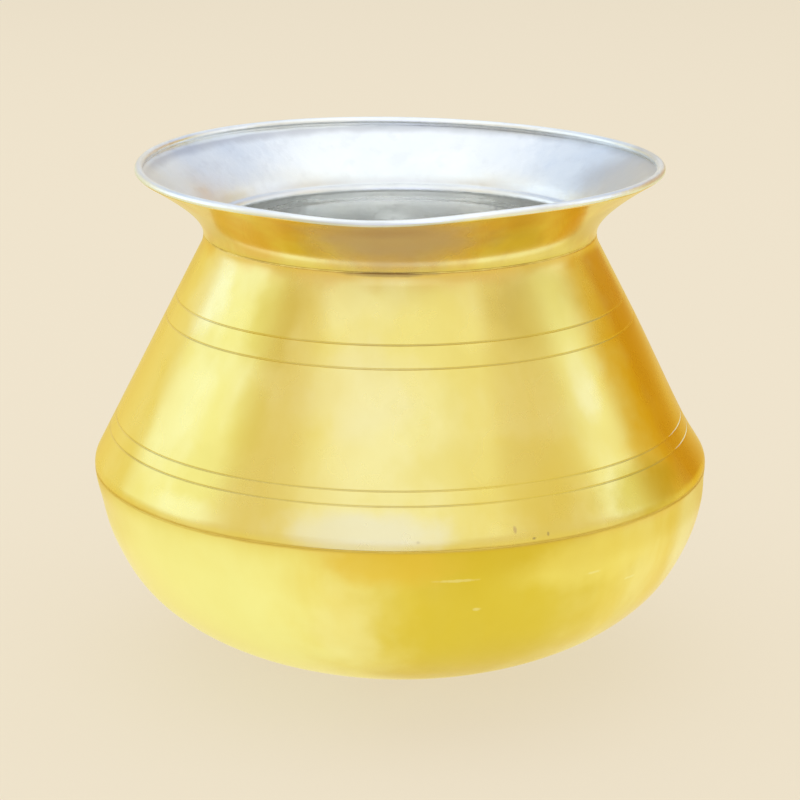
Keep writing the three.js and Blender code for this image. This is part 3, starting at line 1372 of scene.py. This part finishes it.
@dataclass
class LowerBowl(Piece):
    """The raised bowl, from the flat that it stands on to its edge inside the shoulder."""

    sizes: PotSizes
    shoulder: UpperShoulder
    node: str = "lower_bowl"
    name: str = "bowl"
    slot: str = "bowl_brass"
    base_rise: float = math.radians(14)
    base_pull: float = 92.8
    top_lean: float = math.radians(5.5)
    top_pull: float = 58.8
    edge_radius: float = 0.35
    lap_bends: float = 0.8
    outside_curve: float = 1.5
    outside_step: float = 3.0
    inside_curve: float = 5.0
    inside_step: float = 8.0

    def __post_init__(self) -> None:
        """Works out the step at the belly."""
        s = self.sizes
        inner = s.belly_radius - s.shoulder_wall - s.lap_gap
        seam = s.shoulder_foot - s.notch
        self.step = Step(Vector((s.belly_radius, seam)), Vector((inner, s.shoulder_foot - s.lap_gap)))

    def outline(self, fine: float) -> Outline:
        """The outside of the bowl.

        Args:
            fine: About how far its points lie apart on the curve.

        Returns:
            The points, from the edge of the flat to the upper edge.
        """
        s = self.sizes
        side = sweep(
            Vector((s.base_radius, 0)),
            self.base_rise,
            self.base_pull,
            self.step.foot,
            math.pi / 2 - self.top_lean,
            self.top_pull,
            fine,
        )
        lap = inwards(self.shoulder.belly_stretch(self.lap_bends), s.shoulder_wall + s.lap_gap)
        return [*side, self.step.top, *lap[1:]]

    @cached_property
    def section(self) -> Outline:
        """The sheet's section.

        Returns:
            The section, which starts and ends on the axis.
        """
        wall = self.sizes.bowl_wall
        outside = refined([Vector((0, 0)), *self.outline(self.outside_curve)], self.outside_step)
        inside = [Vector((0, wall)), *inwards(self.outline(self.inside_curve), wall)]
        return eased([*outside, *reversed(refined(inside, self.inside_step))], self.edge_radius)

    def finish(self) -> MetalFinish:
        """Satin brass, cloudy from hand buffing, with painted highlights and painted darker reflections
        laid over it.

        Returns:
            The finish.
        """
        s = self.sizes
        return MetalFinish(
            name="bowl_brass",
            pale=(0.9, 0.77, 0.24),
            rich=(0.86, 0.68, 0.125),
            dull=(0.73, 0.57, 0.09),
            roughness=0.34,
            roughness_spread=0.12,
            anisotropy=0.35,
            cloud_size=30.0,
            cloud_stretch=3.0,
            dull_share=0.25,
            grain_size=5.0,
            coat=0.25,
            coat_roughness=0.3,
            stains_and_painted_light=(
                # Painted highlight: the pale left of the bowl.
                StainOrPaintedLight((-100.0, -90.0, 45.0), 130.0, 110.0, (0.92, 0.86, 0.32), 0.9, size=40.0, seed=1.0),
                # Painted darker reflection: a deeper yellow on the front right.
                StainOrPaintedLight((36.0, -130.0, 60.0), 80.0, 110.0, (0.72, 0.53, 0.03), 0.9, size=30.0, seed=2.0),
                # Painted highlight: a pale streak on the front.
                StainOrPaintedLight((-24.0, -135.0, 58.0), 20.0, 80.0, (0.93, 0.83, 0.36), 0.4, size=16.0, seed=19.0),
                # Painted shade: an orange patch under the belly seam, on the front.
                StainOrPaintedLight((-4.0, -149.0, 96.0), 42.0, 14.0, (0.82, 0.56, 0.06), 0.75, size=14.0, seed=20.0),
                # Painted highlight: a pale patch on the right side.
                StainOrPaintedLight((137.0, -58.0, 82.0), 22.0, 44.0, (0.93, 0.9, 0.5), 0.6, size=14.0, seed=38.0),
                BELLY_BRAZE,
                # Painted highlight: a lighter patch under the seam on the right.
                StainOrPaintedLight((84.0, -115.0, 88.0), 50.0, 16.0, (0.92, 0.77, 0.18), 0.55, size=16.0, seed=21.0),
                pale_scuff((25.0, -146.0, 87.5), 13.0, 0.9, 31.0),
                pale_scuff((88.0, -119.0, 82.0), 6.0, 0.9, 32.0),
                pale_scuff((105.0, -99.0, 73.0), 5.0, 0.9, 33.0),
                pale_scuff((34.0, -140.0, 72.0), 2.6, 1.0, 34.0),
            ),
            tints=(SeamTint(s.shoulder_foot, 1.0, 6.0, BRASS_ORANGE, 0.3),),
            seed=23.0,
        )


@dataclass
class MouthCollar(Piece):
    """The flared collar, with a lip rolled over a wire."""

    sizes: PotSizes
    node: str = "mouth_collar"
    name: str = "collar"
    slot: str = "collar_brass"
    foot_pull: float = 10.5
    lip_rise: float = math.radians(32)
    lip_pull: float = 12.5
    slit: float = 0.3
    edge_radius: float = 0.2
    outside_curve: float = 0.7
    inside_curve: float = 1.0
    roll_step: float = 0.25
    cavity_step: float = 0.3

    def __post_init__(self) -> None:
        """Works out the roll."""
        s = self.sizes
        self.roll_radius = s.wire_radius + s.wire_gap + s.collar_wall
        self.roll_start = self.lip_rise - math.pi / 2
        lift = math.asin((self.roll_radius - s.collar_wall - self.slit) / self.roll_radius)
        self.roll_end = math.pi + lift + self.lip_rise

    def outline(self, fine: float) -> Outline:
        """The outside of the collar, which meets the roll without a kink.

        Args:
            fine: About how far its points lie apart.

        Returns:
            The points, from the lower edge to the start of the roll.
        """
        s = self.sizes
        return sweep(
            Vector((s.neck_radius, s.collar_foot)),
            math.pi / 2,
            self.foot_pull,
            s.roll_centre + self.roll_radius * heading(self.roll_start),
            self.lip_rise,
            self.lip_pull,
            fine,
        )

    def lip(self, edge: float, steps: int, gap: float = 0.0) -> Outline:
        """Points over the lip, from the sheet's end inside the roll to an edge outside.

        Args:
            edge: The angle of that edge on the roll, in radians above level.
            steps: How many steps it has.
            gap: How far outside the sheet the points lie.

        Returns:
            The points.
        """
        return arc_in_steps(self.sizes.roll_centre, self.roll_radius + gap, self.roll_end, edge, steps)

    @cached_property
    def section(self) -> Outline:
        """The sheet's section.

        Returns:
            The section, which is closed on itself.
        """
        s = self.sizes
        roll = arc(s.roll_centre, self.roll_radius, self.roll_start, self.roll_end, self.roll_step)
        cavity_radius = self.roll_radius - s.collar_wall
        cavity = arc(s.roll_centre, cavity_radius, self.roll_end, self.roll_start, self.cavity_step)
        inside = inwards(self.outline(self.inside_curve), s.collar_wall)
        outside = [*self.outline(self.outside_curve)[:-1], *roll]
        return eased([*outside, *cavity, *reversed(inside[:-1])], self.edge_radius, closed=True)

    def finish(self) -> MetalFinish:
        """Polished brass, with a dull brown patch at the front, and with painted darker reflections at both
        sides and as an olive band over the neck seam.

        Returns:
            The finish.
        """
        s = self.sizes
        return MetalFinish(
            name="collar_brass",
            pale=BRASS_PALE,
            rich=(0.86, 0.62, 0.2),
            dull=BRASS_BROWN,
            roughness=0.18,
            roughness_spread=0.08,
            anisotropy=0.5,
            cloud_size=24.0,
            cloud_stretch=2.0,
            dull_share=0.12,
            dull_size=20.0,
            coat=0.3,
            stains_and_painted_light=(
                StainOrPaintedLight(
                    (-4.0, -112.0, 234.0),
                    56.0,
                    26.0,
                    (0.56, 0.42, 0.27),
                    0.9,
                    raggedness=0.5,
                    size=13.0,
                    seed=3.0,
                    film=0.75,
                ),
                # Painted darker reflections at both sides of the flare.
                StainOrPaintedLight((90.0, -42.0, 229.0), 34.0, 16.0, (0.68, 0.53, 0.16), 0.7, size=14.0, seed=22.0),
                StainOrPaintedLight((-90.0, -42.0, 229.0), 34.0, 16.0, (0.7, 0.55, 0.16), 0.6, size=14.0, seed=23.0),
                FLUX,
            ),
            # Painted darker reflection: an olive band just over the neck seam.
            tints=(SeamTint(s.collar_foot, 2.4, 2.0, BRASS_OLIVE, 0.5),),
            seed=37.0,
        )


@dataclass
class RimWire(Piece):
    """The wire that the lip is rolled over."""

    sizes: PotSizes
    node: str = "rim_wire"
    name: str = "wire"
    slot: str = "wire_brass"
    sides: int = 16
    slimness: float = 0.99

    @cached_property
    def section(self) -> Outline:
        """The wire's round section, a little slim, without a doubled first point."""
        s = self.sizes
        return arc_in_steps(s.roll_centre, s.wire_radius * self.slimness, 0, 2 * math.pi, self.sides)[:-1]

    def finish(self) -> MetalFinish:
        """Drawn brass wire.

        Returns:
            The finish.
        """
        return MetalFinish(
            name="wire_brass",
            pale=BRASS_PALE,
            rich=BRASS_RICH,
            dull=BRASS_OLIVE,
            roughness=0.35,
            roughness_spread=0.1,
            anisotropy=0.0,
            cloud_size=20.0,
            seed=41.0,
        )


@dataclass
class BrazeRing(Piece):
    """The braze in the notch over a step, fuller in some places than in others.

    Each starved place is its middle and half its width, in radians, and how much deeper the braze
    lies there, in millimetres.
    """

    sizes: PotSizes
    step: Step
    node: str
    name: str
    slot: str = "braze"
    starved: tuple[tuple[float, float, float], ...] = ()
    stains_and_painted_light: tuple[StainOrPaintedLight, ...] = ()
    seed: float = 0.0
    steps: int = 10
    fill: float = 0.6
    waves: tuple[tuple[float, float], ...] = ((9.0, 0.5), (31.0, 0.4))
    least_sink: float = 0.06
    starved_core: float = 0.6
    hollow: float = 0.12

    def sink_at(self, angle: float) -> float:
        """How far the braze lies under the outside of the sheets.

        Args:
            angle: The angle round the axis, in radians.

        Returns:
            The distance in millimetres.
        """
        around = Vector((math.cos(angle), math.sin(angle), self.seed))
        uneven = 1.0 + sum(depth * noise.noise(around * turns) for turns, depth in self.waves)
        sink = self.sizes.braze_sink * self.fill * uneven
        for middle, half_width, depth in self.starved:
            away = abs(nearest_turn(angle - middle))
            sink += depth * (1 - smooth_share(away, self.starved_core * half_width, half_width))
        return max(self.least_sink, sink)

    def section_at(self, angle: float) -> Outline:
        """The ring's section: a hollow face to the air, the top under the upper sheet and the ramp.

        Args:
            angle: The angle round the axis, in radians.

        Returns:
            The section, which is closed on itself.
        """
        s = self.sizes
        foot, top = self.step.foot, self.step.top
        slope = (top.y - foot.y) / (foot.x - top.x)
        lift = s.braze_gap * math.hypot(1, slope)
        sink = self.sink_at(angle)
        low = Vector((foot.x - sink, foot.y + sink * slope + lift))
        high = Vector((foot.x - sink, top.y))
        inner = Vector((top.x + lift / slope, top.y))
        face = []
        for i in range(self.steps + 1):
            share = i / self.steps
            bow = self.hollow * (high.y - low.y) * math.sin(math.pi * share)
            face.append(low.lerp(high, share) - Vector((bow, 0)))
        return [*face, inner]

    def finish(self) -> MetalFinish:
        """Dull braze, darkened by flux.

        Returns:
            The finish.
        """
        return MetalFinish(
            name=f"{self.name}_metal",
            pale=(0.9, 0.75, 0.28),
            rich=(0.76, 0.6, 0.17),
            dull=(0.5, 0.36, 0.12),
            roughness=0.45,
            roughness_spread=0.2,
            anisotropy=0.0,
            cloud_size=9.0,
            dull_share=0.45,
            dull_size=14.0,
            stains_and_painted_light=self.stains_and_painted_light,
            grain_size=0.8,
            grain_relief=0.03,
            seed=53.0 + self.seed,
        )


@dataclass
class TinLining(Piece):
    """The tin coat over the whole inside and the lip."""

    sizes: PotSizes
    bowl: LowerBowl
    shoulder: UpperShoulder
    collar: MouthCollar
    node: str = "tin_lining"
    name: str = "tin"
    slot: str = "tin"
    edge: float = math.radians(-20)
    edge_wander: float = math.radians(12)
    edge_waves: float = 6.0
    collar_curve: float = 1.2
    under_curve: float = 7.0
    under_steps: int = 12
    over_curve: float = 5.0
    over_step: float = 7.0
    over_steps: int = 36

    def wetted_line(self, fine: float, roll_steps: int) -> Outline:
        """The line that the tin lies on.

        Args:
            fine: About how far its points lie apart on the curves.
            roll_steps: How many steps it has over the lip.

        Returns:
            The points, from the middle of the bowl to where the tin ends on the lip.
        """
        s = self.sizes
        bowl = self.bowl.outline(fine)
        shoulder = self.shoulder.outline(fine)
        shoulder_in = inwards(shoulder, s.shoulder_wall)
        collar_in = inwards(self.collar.outline(min(fine, self.collar_curve)), s.collar_wall)
        lip = self.collar.lip(self.edge, roll_steps)
        return [
            Vector((0, s.bowl_wall)),
            *inwards(bowl, s.bowl_wall),
            bowl[-1],
            *between(shoulder_in, bowl[-1].y + s.tin_corner, shoulder[-1].y),
            shoulder[-1],
            *between(collar_in, shoulder[-1].y + s.tin_corner, lip[0].y - s.tin_corner),
            *lip,
        ]

    @cached_property
    def skins(self) -> tuple[Outline, Outline]:
        """The coat's underside and top up to the lip, each from the middle of the bowl.

        Returns:
            The underside and the top.
        """
        s = self.sizes
        under = inwards(self.wetted_line(self.under_curve, self.under_steps), s.tin_gap)
        over = refined(self.wetted_line(self.over_curve, self.over_steps), self.over_step)
        over = inwards(over, s.tin_gap + s.tin_film)
        for line in (under, over):
            line[0].x = 0
        return under[: -self.under_steps - 1], over[: -self.over_steps - 1]

    def section_at(self, angle: float) -> Outline:
        """The coat's section. Its edge on the lip wanders as it goes round.

        Args:
            angle: The angle round the axis, in radians.

        Returns:
            The section, which starts and ends on the axis.
        """
        s = self.sizes
        under, over = self.skins
        around = Vector((math.cos(angle), math.sin(angle), 2))
        edge = self.edge + self.edge_wander * noise.noise(around * self.edge_waves)
        under_lip = self.collar.lip(edge, self.under_steps, s.tin_gap)
        over_lip = self.collar.lip(edge, self.over_steps, s.tin_gap + s.tin_film)
        return [*under, *under_lip, *reversed(over_lip), *reversed(over)]

    def finish(self) -> MetalFinish:
        """Wiped tin, soft and mottled, with painted shade under the lip, inside the neck and at both sides
        of the mouth, and painted paler inside the pot.

        Returns:
            The finish.
        """
        return TinFinish(
            name="wiped_tin",
            pale=(0.95, 0.982, 0.99),
            rich=(0.9, 0.94, 0.965),
            dull=(0.8, 0.83, 0.85),
            roughness=0.36,
            roughness_spread=0.16,
            anisotropy=0.0,
            cloud_size=30.0,
            dull_share=0.35,
            dull_size=9.0,
            ring_relief=0.004,
            grain_size=6.0,
            grain_relief=0.09,
            edge_tint=(0.9, 0.92, 0.96),
            stains_and_painted_light=(
                # Painted shade at both sides of the mouth's inner flare.
                StainOrPaintedLight((100.0, 20.0, 240.0), 46.0, 30.0, (0.68, 0.68, 0.67), 0.85, size=16.0, seed=12.0),
                StainOrPaintedLight((-110.0, -20.0, 240.0), 40.0, 30.0, (0.82, 0.84, 0.86), 0.6, size=16.0, seed=13.0),
            ),
            tints=(
                # Painted shadow under the rolled lip.
                SeamTint(244.6, 1.2, 3.2, (0.6, 0.61, 0.64), 0.7, raggedness=1.2, size=18.0),
                # Painted shade inside the neck.
                SeamTint(220.6, 4.2, 4.5, (0.78, 0.79, 0.8), 0.6, raggedness=0.6, size=14.0),
                # Painted light: a paler, warmer tin colour from the neck down.
                SeamTint(100.0, 118.0, 400.0, (0.99, 0.98, 0.93), 0.95),
            ),
            seed=71.0,
        )


@dataclass(frozen=True)
class Panel:
    """A flat panel round the pot, which polished metal sees and the camera doesn't.

    Its glow is what a mirror would show of it, in red, green and blue. A lit one is a soft lamp as
    well, which lights everything, and one that isn't is a board.
    """

    name: str
    azimuth: float
    elevation: float
    width: float
    tall: float
    glow: Colour
    lit: bool = True
    distance: float = 2.6
    lamp_share: float = 0.44

    def place(self, target: Vector) -> None:
        """Puts the panel up, with its lamp if it is lit.

        Args:
            target: The point that it faces, in metres.
        """
        self.hang(self.board(), target)
        if self.lit:
            self.hang(self.lamp(), target)

    def hang(self, thing: bpy.types.Object, target: Vector) -> None:
        """Moves a thing to the panel's place."""
        stand(thing, target, self.azimuth, self.elevation, self.distance)
        thing.visible_camera = False

    def lamp(self) -> bpy.types.Object:
        """The lamp, which matt surfaces see.

        Returns:
            The lamp, not yet in its place.
        """
        strongest = max(self.glow)
        light = bpy.data.lights.new(self.name, "AREA")
        light.shape = "RECTANGLE"
        light.size = self.width
        light.size_y = self.tall
        light.color = [part / strongest for part in self.glow]
        light.energy = self.lamp_share * strongest * math.pi * self.width * self.tall
        made = placed(f"{self.name}_lamp", light)
        made.visible_glossy = False
        return made

    def board(self) -> bpy.types.Object:
        """The glowing face, which polished surfaces see.

        Returns:
            The board, not yet in its place.
        """
        mesh = bmesh.new()
        corners = [(-1, -1), (1, -1), (1, 1), (-1, 1)]
        mesh.faces.new([mesh.verts.new((x * self.width / 2, y * self.tall / 2, 0)) for x, y in corners])
        data = bpy.data.meshes.new(self.name)
        mesh.to_mesh(data)
        mesh.free()
        paint = bpy.data.materials.new(self.name)
        link = Link.cleared(paint)
        face = link.node("Emission", {"Color": self.glow, "Strength": 1.0})
        link.node("OutputMaterial", {"Surface": face.outputs[0]})
        data.materials.append(paint)
        made = placed(self.name, data)
        for rays in ("diffuse", "shadow", "transmission", "volume_scatter"):
            setattr(made, f"visible_{rays}", False)
        return made


def stand(
    thing: bpy.types.Object, target: Vector, azimuth: float, elevation: float, distance: float
) -> None:
    """Puts a thing round a target and turns its -Z to it.

    Args:
        thing: What is placed.
        target: The point that it faces.
        azimuth: Degrees round from the front, to the right as the camera sees it.
        elevation: Degrees above level.
        distance: Metres from the target.
    """
    turn = math.radians(azimuth)
    rise = math.radians(elevation)
    away = Vector((math.sin(turn) * math.cos(rise), -math.cos(turn) * math.cos(rise), math.sin(rise)))
    thing.location = target + away * distance
    thing.rotation_euler = away.to_track_quat("Z", "Y").to_euler()


@dataclass(frozen=True)
class Studio:
    """A pale room without corners, soft lamps, and the camera at the photograph's angle."""

    pale: Colour = (0.863, 0.776, 0.617)
    room_light: Colour = (1.0, 0.96, 0.9)
    room_brightness: float = 0.7
    floor_radius: float = 14.0
    floor_sides: int = 96
    floor_glow: float = 0.72
    pitch: float = math.radians(15.7)
    distance: float = 1.3
    aim_height: float = 0.1298
    lens: float = 118.904
    sensor_width: float = 36.0
    # What reflections see of the floor: a painted pool of light near the pot, and painted darker floor
    # farther out.
    near_painted_light: Colour = (1.12, 1.18, 1.1)
    far_painted_shade: Colour = (0.9, 0.83, 0.4)
    painted_light_ends: tuple[float, float] = (255.0, 345.0)
    panels: tuple[Panel, ...] = (
        Panel("canopy", 1.0, 62.0, 3.8, 3.0, (1.07, 1.1, 1.09)),
        Panel("rear_canopy", 180.0, 62.0, 3.8, 2.9, (1.04, 1.06, 1.1)),
        Panel("low_box", 0.0, 20.0, 1.9, 1.0, (1.02, 1.08, 1.45)),
        Panel("left_box", -98.0, 22.0, 2.1, 2.0, (1.1, 1.22, 1.32)),
        Panel("left_back_box", -135.0, 8.0, 1.3, 1.2, (0.93, 0.87, 0.55)),
        Panel("right_strip", 93.0, 24.0, 0.95, 2.0, (1.1, 1.2, 1.39)),
        Panel("ochre_board", 117.0, 9.0, 0.8, 1.9, (0.77, 0.58, 0.16), lit=False),
        Panel("tan_board", 138.0, 9.0, 1.7, 1.8, (0.66, 0.43, 0.22), lit=False),
        Panel("grey_board_left", -146.0, 42.0, 2.2, 1.3, (0.6, 0.69, 0.84), lit=False),
        Panel("grey_board_right", 146.0, 42.0, 2.2, 1.3, (0.6, 0.66, 0.79), lit=False),
    )

    def seen(self, link: Link) -> bpy.types.NodeSocket:
        """Tells what the camera sees, straight on or through a reflection or glass.

        Args:
            link: The nodes of a material or the world.

        Returns:
            1 where it is seen, or else 0.
        """
        path = link.node("LightPath").outputs
        seen = link.maths("MAXIMUM", path["Is Camera Ray"], path["Is Glossy Ray"])
        return link.maths("MAXIMUM", seen, path["Is Transmission Ray"])

    def build_room(self) -> None:
        """Makes the world, whose light is plain and whose look is pale."""
        world = bpy.data.worlds.new("room")
        bpy.context.scene.world = world
        link = Link.cleared(world)
        light = link.node("Background", {"Color": self.room_light, "Strength": self.room_brightness})
        look = link.node("Background", {"Color": self.pale, "Strength": 1.0})
        both = link.node("MixShader", {0: self.seen(link), 1: light.outputs[0], 2: look.outputs[0]})
        link.node("OutputWorld", {"Surface": both.outputs[0]})

    def build_floor(self) -> None:
        """Lays the pale floor, which keeps the pot's shadow. Reflections see it with a painted pool of
        light near the pot and painted darker floor farther out.
        """
        mesh = bmesh.new()
        bmesh.ops.create_circle(mesh, cap_ends=True, radius=self.floor_radius, segments=self.floor_sides)
        data = bpy.data.meshes.new("floor")
        mesh.to_mesh(data)
        mesh.free()
        floor = placed("floor", data)
        paint = bpy.data.materials.new("floor_paint")
        link = Link.cleared(paint)
        matt = link.node("BsdfDiffuse", {"Color": self.pale})
        polished = link.node("LightPath").outputs["Is Glossy Ray"]
        # Painted for reflections only: brighter near the pot, darker farther out.
        far = link.ramp(PotPlace.read(link).radius, *self.painted_light_ends)
        sheen = link.mix(far, self.near_painted_light, self.far_painted_shade)
        look = link.mix(polished, self.pale, sheen)
        glow = link.node("Emission", {"Color": look, "Strength": 1.0})
        share = link.maths("MULTIPLY", self.seen(link), self.floor_glow)
        both = link.node("MixShader", {0: share, 1: matt.outputs[0], 2: glow.outputs[0]})
        link.node("OutputMaterial", {"Surface": both.outputs[0]})
        data.materials.append(paint)

    def build_camera(self) -> None:
        """Puts the camera where the photograph's was."""
        data = bpy.data.cameras.new("camera")
        data.sensor_width = self.sensor_width
        data.lens = self.lens
        camera = placed("camera", data)
        stand(camera, Vector((0, 0, self.aim_height)), 0.0, math.degrees(self.pitch), self.distance)
        bpy.context.scene.camera = camera

    def build(self) -> None:
        """Makes the room, the floor, the lamps, the boards and the camera."""
        self.build_room()
        self.build_floor()
        target = Vector((0, 0, self.aim_height))
        for panel in self.panels:
            panel.place(target)
        self.build_camera()
        bpy.context.scene.view_settings.view_transform = "Standard"


def main() -> None:
    """Builds the pot and its studio."""
    logging.basicConfig(level=logging.INFO, format="%(name)s: %(message)s")
    hand = HandWork()
    sizes = PotSizes.from_frame()
    shoulder = UpperShoulder(sizes)
    bowl = LowerBowl(sizes, shoulder)
    collar = MouthCollar(sizes)
    pieces = (
        bowl,
        shoulder,
        collar,
        RimWire(sizes),
        BrazeRing(sizes, bowl.step, "belly_braze_ring", "belly_braze", stains_and_painted_light=(BELLY_BRAZE,), seed=1.0),
        BrazeRing(
            sizes,
            shoulder.step,
            "neck_braze_ring",
            "neck_braze",
            starved=(NECK_STARVED,),
            stains_and_painted_light=(FLUX,),
            seed=4.0,
        ),
        TinLining(sizes, bowl, shoulder, collar),
    )
    for piece in pieces:
        piece.build(hand)
    Studio().build()


if __name__ == "__main__":
    main()
